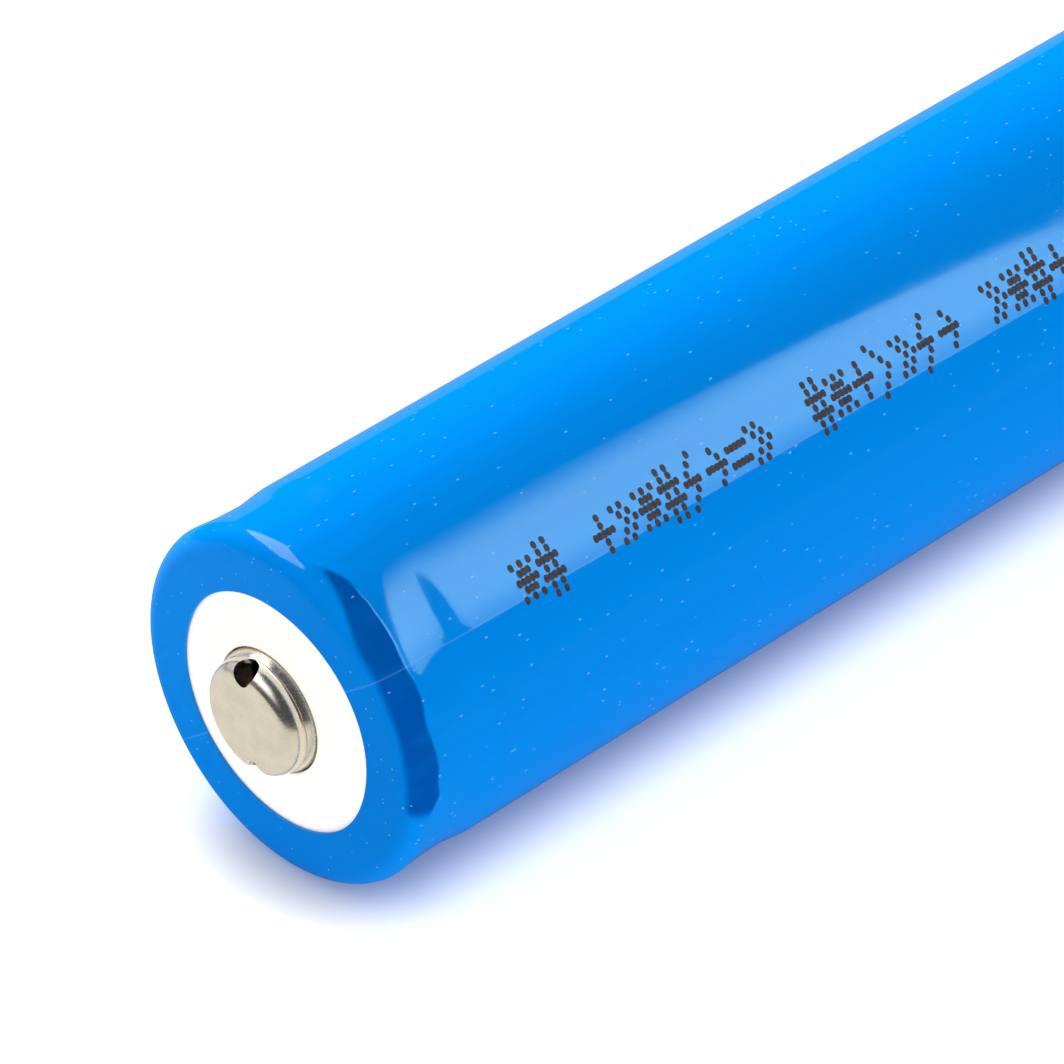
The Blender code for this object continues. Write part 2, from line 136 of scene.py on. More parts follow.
def make_mesh(name, points, faces, crease=35.0):
    """A smooth mesh, with sharp edges where it turns by more than crease degrees."""
    mesh = bpy.data.meshes.new(name)
    mesh.from_pydata(points, [], faces)
    mesh.validate()
    mesh.shade_smooth()
    mesh.set_sharp_from_angle(angle=radians(crease))
    mesh.update()
    return mesh


def ring_faces(rings, steps, closed):
    """Four-sided faces between neighbouring rings of points, and from last to first if closed."""
    faces = []
    for ring in range(rings if closed else rings - 1):
        low = ring * steps
        high = (ring + 1) % rings * steps
        for step in range(steps):
            after = (step + 1) % steps
            faces.append((low + step, high + step, high + after, low + after))
    return faces


def lathe(name, profile, steps, warp, crease):
    """A solid turned about the axis from (radius, depth) points. A profile that doesn't start and end on
    the axis is a closed loop. warp(angle, radius, depth) gives a point's own radius, depth and shift."""
    on_axis = profile[0][0] == 0.0
    rings = profile[1:-1] if on_axis else profile
    points = []
    for radius, depth in rings:
        for step in range(steps):
            angle = tau * step / steps
            points.append(place(angle, *warp(angle, radius, depth)))
    faces = ring_faces(len(rings), steps, not on_axis)
    if on_axis:
        # A fan of triangles closes each end.
        for (radius, depth), ring, turn in ((profile[0], 0, 1), (profile[-1], len(rings) - 1, -1)):
            points.append(place(0.0, *warp(0.0, radius, depth)))
            for step in range(steps):
                edge = (ring * steps + step, ring * steps + (step + 1) % steps)
                faces.append((len(points) - 1, *edge[::turn]))
    return make_mesh(name, points, faces, crease)


def arc(centre_radius, centre_depth, size, start, end, count):
    """Points of an arc in the profile's plane. At 0 degrees it faces outwards, at 90 towards -depth."""
    spots = []
    for i in range(count + 1):
        turn = radians(start + (end - start) * i / count)
        spots.append((centre_radius + size * cos(turn), centre_depth - size * sin(turn)))
    return spots


# ---------------------------------------------------------------- materials


def add_node(tree, kind, **settings):
    node = tree.nodes.new(kind)
    for name, value in settings.items():
        setattr(node, name, value)
    return node


def new_material(name, colour, roughness, metallic=0.0):
    material = bpy.data.materials.new(name)
    material.use_nodes = True
    shader = material.node_tree.nodes["Principled BSDF"]
    shader.inputs["Base Color"].default_value = (*colour, 1.0)
    shader.inputs["Roughness"].default_value = roughness
    shader.inputs["Metallic"].default_value = metallic
    return material, material.node_tree, shader


def cell_position(tree, stretch=(1.0, 1.0, 1.0)):
    """The point's place in millimetres, times stretch."""
    spot = add_node(tree, "ShaderNodeTexCoord")
    scaled = add_node(tree, "ShaderNodeVectorMath", operation="MULTIPLY")
    tree.links.new(spot.outputs["Object"], scaled.inputs[0])
    scaled.inputs[1].default_value = [s / MM for s in stretch]
    return scaled.outputs[0]


def noise_field(tree, stretch, detail=2.0, roughness=0.5):
    field = add_node(tree, "ShaderNodeTexNoise")
    tree.links.new(cell_position(tree, stretch), field.inputs["Vector"])
    field.inputs["Scale"].default_value = 1.0
    field.inputs["Detail"].default_value = detail
    field.inputs["Roughness"].default_value = roughness
    return field.outputs["Fac"]


def remap(tree, source, low, high, to_low=0.0, to_high=1.0):
    node = add_node(tree, "ShaderNodeMapRange", interpolation_type="SMOOTHSTEP")
    tree.links.new(source, node.inputs["Value"])
    node.inputs["From Min"].default_value = low
    node.inputs["From Max"].default_value = high
    node.inputs["To Min"].default_value = to_low
    node.inputs["To Max"].default_value = to_high
    return node.outputs["Result"]


def multiply(tree, first, second):
    node = add_node(tree, "ShaderNodeMath", operation="MULTIPLY")
    for socket, value in zip(node.inputs, (first, second)):
        if isinstance(value, float):
            socket.default_value = value
        else:
            tree.links.new(value, socket)
    return node.outputs[0]


def mix_colour(tree, factor, first, second):
    node = add_node(tree, "ShaderNodeMix", data_type="RGBA")
    tree.links.new(factor, node.inputs["Factor"])
    for socket, value in ((node.inputs[6], first), (node.inputs[7], second)):
        if isinstance(value, tuple):
            socket.default_value = (*value, 1.0)
        else:
            tree.links.new(value, socket)
    return node.outputs[2]


def bump(tree, shader, *layers):
    """Chains bump maps of (height, millimetres) onto the shader's normal."""
    normal = None
    for height, size in layers:
        node = add_node(tree, "ShaderNodeBump")
        tree.links.new(height, node.inputs["Height"])
        node.inputs["Strength"].default_value = 1.0
        node.inputs["Distance"].default_value = size * MM
        if normal:
            tree.links.new(normal, node.inputs["Normal"])
        normal = node.outputs["Normal"]
    tree.links.new(normal, shader.inputs["Normal"])


# ---------------------------------------------------------------- the film

# The film is widest at its ridge, over the can's rim, and leans in from there towards the lip.
RIDGE_DEPTH = 1.0
RIDGE_LEAN = radians(13.0)

# On one side it hangs free between the washer's edge and the rim. The ridge lies deeper there, and the
# free strip is painted darker, as painted shade where no metal shines through the film. Towards its upper
# end the strip's near edge moves away from the lip.
BRIDGE_CENTRE = radians(34.0)
BRIDGE_HALF = radians(44.0)
BRIDGE_DEPTH = 0.62
STRIP_START = 0.1
STRIP_TAPER = 0.9
TAPER_FROM = radians(48.0)
TAPER_TO = radians(76.0)

# The lip's opening is a little squared, and the flat of the lip has painted shade, darkest on one side.
LIP_SQUARENESS = 0.035
LIP_CORNER = radians(36.0)
LIP_WAVES = 0.03
LIP_SHADE = 0.28
LIP_SHADE_TURN = radians(20.0)

# Heights of the film's waves, and the depths between which it is folded.
FOLDS = 0.007
FINE_FOLDS = 0.002
SLACK = 0.005
FOLDED_PART = (2.2, 3.4, 5.0, 8.5)

# The crease down the tube: its angle in degrees at the lip and at CREASE_LENGTH mm from it.
CREASE_START = 39.3
CREASE_END = 34.8
CREASE_LENGTH = 44.9
CREASE_HALF_WIDTH = 0.07

# The mesh: points round the film, rows across the lips and corners, and the steps between rows in mm.
FILM_STEPS = 288
LIP_ROWS = 10
CORNER_ROWS = 24
HEAD_STEP = 0.08
HEAD_END = WAIST_END + 0.7
BODY_STEP = 1.0
LAST_STEP = 1.1
FAR_CORNER_ROWS = 16
FAR_LIP_ROWS = 8

FILM_BLUE = (0.0, 0.25, 0.82)
# Painted shade for the free strip and the lip's flat.
BRIDGE_SHADE_BLUE = (0.0, 0.085, 0.4)
STREAK_BLUE = (0.0, 0.19, 0.7)
SPECK_GLINT_BLUE = (0.3, 0.62, 1.0)
CREASE_HIGHLIGHT_BLUE = (0.3, 0.6, 1.0)


def wander(angle, along, seed, reach=1.5):
    """Smooth noise round the cell, from -1 to 1, that closes on itself. More reach gives shorter waves."""
    return noise.noise(Vector((reach * cos(angle), reach * sin(angle), along + 17.0 * seed)))


def bridge_span(angle):
    """1 where the film hangs free between the washer's edge and the can's rim, 0 where it clings."""
    turn = (angle - BRIDGE_CENTRE + pi) % tau - pi
    return 1 - smooth(0.8, 1.05, abs(turn) / BRIDGE_HALF)


def ridge(angle):
    """The depth where the film meets the can's rim, and is widest."""
    ragged = 0.2 * wander(angle, 0.0, seed=5, reach=4.0) + 0.06 * wander(angle, 0.0, seed=6, reach=12.0)
    return RIDGE_DEPTH + (BRIDGE_DEPTH + ragged) * bridge_span(angle)


def film_relief(angle, depth):
    """How far the film stands off its plain outline, in millimetres."""
    folded = band(depth, *FOLDED_PART)
    folds = FOLDS * folded * wander(angle, depth * 0.25, seed=1, reach=3.0)
    fine_folds = FINE_FOLDS * folded * wander(angle, depth * 0.8, seed=2, reach=9.0)
    slack = SLACK * wander(angle, depth * 0.08, seed=3, reach=1.2)
    return folds + fine_folds + slack


def head_inset(angle, depth):
    """How far the film lies inside the cell's full radius between its end and its waist."""
    peak = ridge(angle)
    if depth < peak:
        return (peak - depth) * sin(RIDGE_LEAN)
    if depth < WAIST_CENTRE:
        return WAIST_DEPTH * (1 - ((WAIST_CENTRE - depth) / (WAIST_CENTRE - peak)) ** 2)
    return WAIST_DEPTH * (1 - smooth(WAIST_CENTRE, WAIST_END, depth))


def lip_radius(angle):
    """The positive lip's opening, a little squared as the film shrank."""
    squared = LIP_SQUARENESS * cos(4 * (angle - LIP_CORNER))
    return POSITIVE_LIP + squared + LIP_WAVES * wander(angle, 0.0, seed=4)


def film_outline():
    """(radius, depth, lean) down the film's outside; lean is the normal's turn towards -depth."""
    flat = CELL_RADIUS - END_CORNER
    rows = [(POSITIVE_LIP + (flat - POSITIVE_LIP) * i / LIP_ROWS, 0.0, 90.0) for i in range(LIP_ROWS)]
    corner = arc(flat, END_CORNER, END_CORNER, 90.0, 0.0, CORNER_ROWS)
    rows += [(*spot, 90.0 - 90.0 * i / CORNER_ROWS) for i, spot in enumerate(corner)]
    depth = END_CORNER
    while depth < BODY_LENGTH - END_CORNER - LAST_STEP:
        depth += HEAD_STEP if depth < HEAD_END else BODY_STEP
        rows.append((CELL_RADIUS, depth, 0.0))
    corner = arc(flat, BODY_LENGTH - END_CORNER, END_CORNER, 0.0, -90.0, FAR_CORNER_ROWS)
    rows += [(*spot, -90.0 * i / FAR_CORNER_ROWS) for i, spot in enumerate(corner)]
    for i in range(1, FAR_LIP_ROWS + 1):
        rows.append((flat + (NEGATIVE_LIP - flat) * i / FAR_LIP_ROWS, BODY_LENGTH, -90.0))
    return rows


def bridge_shade(angle, depth):
    """Painted shade: how much darker the film is painted where it hangs free and no metal shines through
    it.
    """
    start = STRIP_START + STRIP_TAPER * smooth(TAPER_FROM, TAPER_TO, angle if angle < pi else angle - tau)
    end = ridge(angle)
    strip = band(depth, start - 0.1, start + 0.25, end - 0.08, end + 0.1)
    return strip * smooth(0.02, 0.6, bridge_span(angle))


def lip_shade(angle):
    """How much painted shade darkens the flat of the lip, at each angle."""
    return LIP_SHADE * (0.55 + 0.45 * cos(angle + LIP_SHADE_TURN))


def make_film():
    outline = film_outline()
    points = []
    dark = []
    for side in (0.0, FILM):
        rows = outline if side == 0.0 else outline[::-1]
        for radius, depth, lean in rows:
            out = cos(radians(lean))
            down = -sin(radians(lean))
            for step in range(FILM_STEPS):
                angle = tau * step / FILM_STEPS
                offset = film_relief(angle, depth) * out - side
                inset = head_inset(angle, depth) * min((radius - POSITIVE_LIP) / 2.0, 1.0)
                own_radius = radius - inset + offset * out
                if lean == 90.0:
                    inner = 1 - smooth(POSITIVE_LIP, CELL_RADIUS - END_CORNER, radius)
                    own_radius += (lip_radius(angle) - POSITIVE_LIP) * inner
                points.append(place(angle, own_radius, depth + offset * down))
                # Painted shade: the free strip and one side of the lip's flat are painted darker, kept per
                # point.
                on_lip = 1 - smooth(0.0, 0.5, depth)
                dark.append(max(bridge_shade(angle, depth), lip_shade(angle) * on_lip))
    faces = ring_faces(len(points) // FILM_STEPS, FILM_STEPS, True)
    mesh = make_mesh("film_surface", points, faces, 60.0)
    layer = mesh.attributes.new("painted_shade", "FLOAT", "POINT")
    layer.data.foreach_set("value", dark)
    film = add_object("shrink_film", mesh)
    film.data.materials.append(film_material())
    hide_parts("outer_sleeve")
    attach(film, "root")
    return film


def film_material():
    material, tree, shader = new_material("blue_film", FILM_BLUE, 0.08)
    # The film is painted darker where it hangs free and on one side of the lip: painted shade.
    dark = add_node(tree, "ShaderNodeAttribute", attribute_name="painted_shade")
    colour = mix_colour(tree, dark.outputs["Fac"], FILM_BLUE, BRIDGE_SHADE_BLUE)
    streaks = noise_field(tree, (0.9, 0.03, 0.9), 3.0)
    streak_mask = remap(tree, streaks, 0.45, 0.75, 0.0, 0.22)
    colour = mix_colour(tree, streak_mask, colour, STREAK_BLUE)
    # Specks in the film: small real bumps, painted paler blue, partly as their own colour and partly as a
    # painted glint.
    specks = add_node(tree, "ShaderNodeTexVoronoi")
    tree.links.new(cell_position(tree, (1.85, 0.92, 1.85)), specks.inputs["Vector"])
    specks.inputs["Scale"].default_value = 1.0
    speck_mask = remap(tree, specks.outputs["Distance"], 0.035, 0.12, 1.0, 0.0)
    colour = mix_colour(tree, multiply(tree, speck_mask, 0.5), colour, SPECK_GLINT_BLUE)
    # Painted highlight: a pale line is painted along the creases, as well as their bump.
    crease = crease_mask(tree)
    colour = mix_colour(tree, multiply(tree, crease, 0.12), colour, CREASE_HIGHLIGHT_BLUE)
    tree.links.new(colour, shader.inputs["Base Color"])
    grain = noise_field(tree, (2.0, 2.0, 2.0), 3.0)
    tree.links.new(remap(tree, grain, 0.3, 0.7, 0.05, 0.1), shader.inputs["Roughness"])
    grazing = add_node(tree, "ShaderNodeLayerWeight")
    gloss = remap(tree, grazing.outputs["Facing"], 0.5, 0.9, 0.104, 0.01)
    taut = remap(tree, dark.outputs["Fac"], 0.3, 0.8, 1.0, 0.15)
    tree.links.new(multiply(tree, gloss, taut), shader.inputs["Specular IOR Level"])
    bump(tree, shader, (grain, 0.0008), (speck_mask, 0.006), (crease, 0.0015))
    return material


def crease_mask(tree):
    """1 along the two creases that the film's tube had when it was flat, on opposite sides of the cell."""
    start = radians(CREASE_START)
    end = radians(CREASE_END)
    first = Vector((cos(start), 0.0, sin(start))) * CELL_RADIUS
    last = Vector((cos(end), CREASE_LENGTH / CELL_RADIUS, sin(end))) * CELL_RADIUS
    across = (last - first).cross(first).normalized()
    offset = add_node(tree, "ShaderNodeVectorMath", operation="DOT_PRODUCT")
    tree.links.new(cell_position(tree), offset.inputs[0])
    offset.inputs[1].default_value = across
    centred = add_node(tree, "ShaderNodeMath", operation="SUBTRACT")
    tree.links.new(offset.outputs["Value"], centred.inputs[0])
    centred.inputs[1].default_value = across.dot(AXIS / MM)
    size = add_node(tree, "ShaderNodeMath", operation="ABSOLUTE")
    tree.links.new(centred.outputs[0], size.inputs[0])
    return remap(tree, size.outputs[0], 0.0, CREASE_HALF_WIDTH, 1.0, 0.0)


# ---------------------------------------------------------------- the washer


def off_centre(angle, radius, depth):
    """Moves what is near the middle to the button's own centre."""
    shift = BUTTON_SHIFT * (1 - smooth(SHIFTED_RADIUS, CENTRED_RADIUS, radius))
    return radius, depth, shift


def make_washer():
    top = []
    steps = 24
    for i in range(steps + 1):
        across = (WASHER_RADIUS - WASHER_HOLE - WASHER_BEVEL) * (i / steps) ** 1.5
        radius = WASHER_HOLE + WASHER_BEVEL + across
        rise = WASHER_RISE * exp(-(((radius - WASHER_HOLE) / WASHER_RISE_WIDTH) ** 2))
        top.append((radius, WASHER_FACE - rise))
    hole_top = WASHER_FACE - WASHER_RISE
    rim = [(WASHER_HOLE, hole_top + 0.05), (WASHER_HOLE + 0.02, hole_top + 0.01)]
    bottom = [(radius, depth + WASHER_THICKNESS) for radius, depth in reversed(top)]
    hole_bottom = [(WASHER_HOLE, hole_top + WASHER_THICKNESS - 0.04)]
    mesh = lathe("washer_surface", top + bottom + hole_bottom + rim, 192, off_centre, 50.0)
    washer = add_object("top_washer", mesh)
    material, tree, shader = new_material("white_card", (0.93, 0.91, 0.86), 0.62)
    fibres = noise_field(tree, (6.0, 6.0, 6.0), 4.0, 0.65)
    colour = mix_colour(tree, remap(tree, fibres, 0.35, 0.7), (0.94, 0.92, 0.87), (0.9, 0.88, 0.82))
    tree.links.new(colour, shader.inputs["Base Color"])
    bump(tree, shader, (fibres, 0.004))
    washer.data.materials.append(material)
    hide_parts("top_insulator_washer")
    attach(washer, "root")
    return washer


# ---------------------------------------------------------------- the positive cap


def cap_profile():
    """The pressed sheet's section: down its outside from the axis, and back up its inside."""
    crown = -BUTTON_HEIGHT
    flat = BUTTON_RADIUS - BUTTON_CORNER
    seat = FLANGE_DEPTH - CAP_SHEET
    outside = [(0.0, crown), (flat * 0.5, crown), (flat * 0.9, crown)]
    outside += arc(flat, crown + BUTTON_CORNER, BUTTON_CORNER, 90.0, 4.0, 18)
    outside += [*BUTTON_FOOT, (3.16, -0.02), (3.18, 0.4)]
    outside += arc(3.54, seat - 0.36, -0.36, 0.0, 90.0, 8)
    outside += [(5.0, seat), (FLANGE_RADIUS - 0.05, seat), (FLANGE_RADIUS, seat + 0.05)]
    inside = [(FLANGE_RADIUS, FLANGE_DEPTH - 0.05), (FLANGE_RADIUS - 0.05, FLANGE_DEPTH)]
    inside += [(3.2, FLANGE_DEPTH), (2.88, FLANGE_DEPTH - 0.3), (2.84, 0.0), (2.67, -0.5)]
    inside += arc(flat, crown + BUTTON_CORNER, BUTTON_CORNER - CAP_SHEET, 0.0, 90.0, 8)
    inside += [(0.0, crown + CAP_SHEET)]
    return outside + inside


def bore_mesh(spot, way, rings, count=40):
    """A closed turned shape about the line from spot along way, from (distance, radius) rings."""
    side = way.orthogonal().normalized()
    other = way.cross(side)
    points = []
    for distance, radius in rings:
        for step in range(count):
            angle = tau * step / count
            around = side * cos(angle) + other * sin(angle)
            points.append(spot + (way * distance + around * radius) * MM)
    last = count * (len(rings) - 1)
    faces = [tuple(range(count))[::-1], tuple(range(last, last + count))]
    for low in range(0, last, count):
        for step in range(count):
            after = (step + 1) % count
            faces.append((low + step, low + after, low + count + after, low + count + step))
    return make_mesh("bore", points, faces)


def cut_away(target, cutter_mesh):
    """Takes the cutter's volume out of the target's mesh, for good."""
    cutter = add_object("cutter", cutter_mesh)
    modifier = target.modifiers.new("cut", "BOOLEAN")
    modifier.object = cutter
    modifier.operation = "DIFFERENCE"
    modifier.solver = "EXACT"
    bpy.context.view_layer.update()
    cut = bpy.data.meshes.new_from_object(target.evaluated_get(bpy.context.evaluated_depsgraph_get()))
    target.modifiers.clear()
    target.data = cut
    bpy.data.objects.remove(cutter)


def make_cap():
    cap = add_object("button_cap", lathe("cap_surface", cap_profile(), 144, off_centre, 40.0))
    rings = [(distance, VENT_RADIUS * widening) for distance, widening in VENT_RINGS]
    for degrees_round in VENT_ANGLES:
        angle = radians(degrees_round)
        spot = place(angle, VENT_REACH, VENT_DROP - BUTTON_HEIGHT, BUTTON_SHIFT)
        way = Vector((cos(angle) * sin(VENT_TILT), -cos(VENT_TILT), sin(angle) * sin(VENT_TILT)))
        cut_away(cap, bore_mesh(spot, way, rings))
    cap.data.shade_smooth()
    cap.data.set_sharp_from_angle(angle=radians(32.0))
    cap.data.materials.clear()
    cap.data.materials.append(cap_material())
    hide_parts("positive_cap")
    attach(cap, "root")
    return cap


def cap_material():
    material, tree, shader = new_material("nickel_cap", (0.74, 0.67, 0.53), 0.22, 1.0)
    brush = noise_field(tree, (3.0, 3.0, 14.0), 4.0, 0.7)
    tree.links.new(remap(tree, brush, 0.3, 0.7, 0.2, 0.3), shader.inputs["Roughness"])
    tone = noise_field(tree, (1.2, 1.2, 1.2), 2.0)
    colour = mix_colour(tree, remap(tree, tone, 0.3, 0.7), (0.78, 0.7, 0.56), (0.7, 0.63, 0.5))
    tree.links.new(colour, shader.inputs["Base Color"])
    bump(tree, shader, (brush, 0.0015))
    return material


# ---------------------------------------------------------------- the print on the film

GLYPHS = (
    "     /  #  /  #  /#####/  #  /  #  /     ",
    "     /# #  / # # /  # #/ # # /# #  /     ",
    " # # / # # /#####/ # # /#####/ # # / # # ",
    "#    / #   /  #  /   # /  #  / #   /#    ",
    "     /# # #/ ### /#####/ ### /# # #/     ",
    "     /  #  /   # /#####/   # /  #  /     ",
    "     /     /#####/     /#####/     /     ",
    "   # /  #  / #   /#### /  #  / #   /#    ",
)
# Each group's first column in mm from the lip, and its glyphs.
PRINT_GROUPS = (
    (9.1, (4, 2)),
    (14.0, (0, 1, 4, 2, 7, 5, 6, 1)),
    (28.2, (2, 4, 0, 3, 1, 7, 5)),
    (40.4, (1, 4, 2, 0)),
)
PRINT_TOP = radians(50.5)
ROW_PITCH = radians(2.58)
COLUMN_PITCH = 0.27
GLYPH_ADVANCE = 1.47
DOT_LENGTH = 0.155
DOT_HEIGHT = 0.2
DOT_SIDES = 12
DOT_ROUNDNESS = 0.7
DOT_SIZE_JITTER = 0.08
DOT_PLACE_JITTER = 0.012
INK_LIFT = 0.004
INK = (0.03, 0.025, 0.035)
FADED_INK = (0.06, 0.05, 0.08)


def make_print():
    points = []
    faces = []
    for start, glyphs in PRINT_GROUPS:
        for place_in_group, glyph in enumerate(glyphs):
            for row, line in enumerate(GLYPHS[glyph].split("/")):
                for column, mark in enumerate(line):
                    if mark != "#":
                        continue
                    depth = start + place_in_group * GLYPH_ADVANCE + column * COLUMN_PITCH
                    add_dot(points, faces, PRINT_TOP - row * ROW_PITCH, depth)
    marks = add_object("ink_marks", make_mesh("ink_surface", points, faces))
    material, tree, shader = new_material("dark_ink", INK, 0.5)
    blots = noise_field(tree, (5.0, 5.0, 5.0), 2.0)
    colour = mix_colour(tree, remap(tree, blots, 0.35, 0.7), INK, FADED_INK)
    tree.links.new(colour, shader.inputs["Base Color"])
    marks.data.materials.append(material)
    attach(marks, "root")
    return marks


def add_dot(points, faces, angle, depth):
    """Adds one closed dot of ink that follows the film's surface."""
    jitter = noise.noise_vector(Vector((angle * 30.0, depth * 7.0, 3.0)))
    size = 1 + DOT_SIZE_JITTER * jitter.z
    first = len(points)
    for lift in (-INK_LIFT, INK_LIFT):
        for step in range(DOT_SIDES):
            turn = tau * step / DOT_SIDES
            along = copysign(abs(cos(turn)) ** DOT_ROUNDNESS, cos(turn))
            own_depth = depth + DOT_LENGTH * along
            rise = DOT_PLACE_JITTER * jitter.x + DOT_HEIGHT * size * sin(turn)
            own_angle = angle + rise / CELL_RADIUS
            radius = CELL_RADIUS + film_relief(own_angle, own_depth) + lift
            points.append(place(own_angle, radius, own_depth))
    for step in range(DOT_SIDES):
        after = (step + 1) % DOT_SIDES
        low, high = first + step, first + after
        faces.append((low, high, high + DOT_SIDES, low + DOT_SIDES))
    faces.append(tuple(range(first, first + DOT_SIDES))[::-1])
    faces.append(tuple(range(first + DOT_SIDES, first + 2 * DOT_SIDES)))


# ---------------------------------------------------------------- the CAD's own pieces

# A worn patch keeps this much of the colour.
WORN_METAL = 0.93
WORN_OTHER = 0.82

# Slot: colour, roughness, metallic, size of its grain in mm, depth of its grain in mm.
INNER_FINISHES = {
    "can_nickel": ((0.62, 0.59, 0.54), 0.28, 1.0, 0.5, 0.002),
    "gasket_plastic": ((0.72, 0.74, 0.72), 0.45, 0.0, 1.0, 0.003),
    "ptc_grey": ((0.1, 0.1, 0.11), 0.6, 0.0, 0.6, 0.003),
    "disc_aluminium": ((0.8, 0.81, 0.82), 0.3, 1.0, 0.5, 0.002),
    "cid_plastic": ((0.3, 0.08, 0.05), 0.5, 0.0, 1.0, 0.003),
    "separator_film": ((0.84, 0.85, 0.86), 0.4, 0.0, 3.0, 0.004),
    "cathode_coating": ((0.03, 0.03, 0.034), 0.7, 0.0, 0.3, 0.003),
    "anode_coating": ((0.07, 0.07, 0.075), 0.65, 0.0, 0.3, 0.003),
    "winding_tape_green": ((0.04, 0.3, 0.16), 0.3, 0.0, 3.0, 0.002),
    "tab_aluminium": ((0.78, 0.79, 0.8), 0.35, 1.0, 0.4, 0.002),
    "tab_nickel": ((0.64, 0.62, 0.57), 0.32, 1.0, 0.4, 0.002),
    "tab_tape_amber": ((0.55, 0.22, 0.02), 0.25, 0.0, 2.0, 0.002),
    "insulator_card": ((0.48, 0.4, 0.24), 0.75, 0.0, 0.4, 0.005),
    "pin_steel": ((0.52, 0.52, 0.53), 0.3, 1.0, 0.5, 0.002),
}


def inner_material(slot):
    colour, roughness, metallic, grain, depth = INNER_FINISHES[slot]
    material, tree, shader = new_material("finish_" + slot, colour, roughness, metallic)
    field = noise_field(tree, (1 / grain,) * 3, 4.0, 0.6)
    kept = WORN_METAL if metallic else WORN_OTHER
    worn = tuple(channel * kept for channel in colour)
    tone = mix_colour(tree, remap(tree, field, 0.3, 0.75), colour, worn)
    tree.links.new(tone, shader.inputs["Base Color"])
    sheen = remap(tree, field, 0.3, 0.7, roughness * 0.85, roughness * 1.2)
    tree.links.new(sheen, shader.inputs["Roughness"])
    bump(tree, shader, (field, depth))
    return material


def finish_inner_pieces():
    made = {}
    for part in frame["record"]["subparts"]:
        slot = part["material_slot"]
        if slot not in INNER_FINISHES:
            continue
        if slot not in made:
            made[slot] = inner_material(slot)
        node = frame["nodes"][part["node"]]
        if not node.material_slots:
            node.data.materials.append(made[slot])
        for holder in node.material_slots:
            holder.material = made[slot]


# ---------------------------------------------------------------- camera, floor and light

CAMERA_AZIMUTH = radians(45.67)
CAMERA_ELEVATION = radians(37.27)
CAMERA_DISTANCE = 0.35503
CAMERA_LENS = 262.2
# How far the camera looks past the positive lip's centre, to its right and upwards, in millimetres.
AIM_RIGHT = 11.794
AIM_UP = 8.289

# The floor's half width and level. Its own light fades close to the cell, a painted contact shadow.
FLOOR_HALF = 1500.0
FLOOR_LEVEL = -0.03
FLOOR_FADE = (4.0, 9.0)
FLOOR_GLOW = (0.1, 0.72)

# The floor that shows in reflections: half width, level, and brightness.
SEEN_FLOOR_HALF = 110.0
SEEN_FLOOR_LEVEL = -0.02
FLOOR_IN_FILM = 0.33
FLOOR_IN_METAL = 0.92

# Two softboxes, each a corner and two sides in millimetres from the cell's foot.
RIGHT_SOFTBOX = ((237.7, 92.1, 187.2), (-16.3, 105.3, -87.6), (-223.5, -12.8, 242.4))
LEFT_SOFTBOX = ((-330.0, 20.0, 180.0), (120.0, -260.0, 60.0), (110.0, 40.0, 150.0))
SOFTBOX_IN_FILM = 13.0
SOFTBOX_IN_METAL = 3.0
COOL_TINT = (0.92, 1.55, 1.5)

# The room that shows in the metal: its radius in millimetres, and the brightness of its parts.
DOME_RADIUS = 600.0
ROOM_GLOW = 0.08
WALL_GLOW = 0.75
FRONT_GLOW = 1.8
ROOM_TINT = (0.95, 0.97, 1.1)

# Wide suns: the direction towards each, and its strength.
LEFT_SUN = ((-0.91, 0.2, 0.36), 4.4)
RIGHT_SUN = ((0.7, 0.1, 0.66), 0.9)
FRONT_SUN = ((0.1, -1.0, 0.2), 0.95)
SUN_WIDTH = radians(35.0)

# The sky's brightness is SKY_LEVEL, plus the direction's dot product with SKY_LEAN.
SKY_LEVEL = 0.54
SKY_LEAN = (-0.03, -0.33, -0.02)


def make_camera():
    """Looks at the cell from the photo's angle, past the positive end towards the body."""
    level = cos(CAMERA_ELEVATION)
    back = Vector((sin(CAMERA_AZIMUTH) * level, -cos(CAMERA_AZIMUTH) * level, sin(CAMERA_ELEVATION)))
    right = Vector((cos(CAMERA_AZIMUTH), sin(CAMERA_AZIMUTH), 0.0))
    up = back.cross(right)
    aim = AXIS + (right * AIM_RIGHT + up * AIM_UP) * MM
    data = bpy.data.cameras.new("photo_camera")
    data.lens = CAMERA_LENS
    data.sensor_width = 36.0
    camera = add_object("photo_camera", data)
    turn = Matrix((right, up, back)).transposed().to_4x4()
    camera.matrix_world = Matrix.Translation(aim + back * CAMERA_DISTANCE) @ turn
    bpy.context.scene.camera = camera


def panel(sides, distance=1.0):
    """A flat shape for an emitter: a corner and two sides in millimetres, scaled by distance."""
    corner, along, rise = (Vector(side) for side in sides)
    return lambda across, up: (corner + along * across + rise * up) * distance


def dome(across, up):
    """A round shape for an emitter: across turns from +X through +Y, up goes from the floor to the top."""
    level = cos(up * pi / 2)
    return Vector((cos(tau * across) * level, sin(tau * across) * level, sin(up * pi / 2))) * DOME_RADIUS


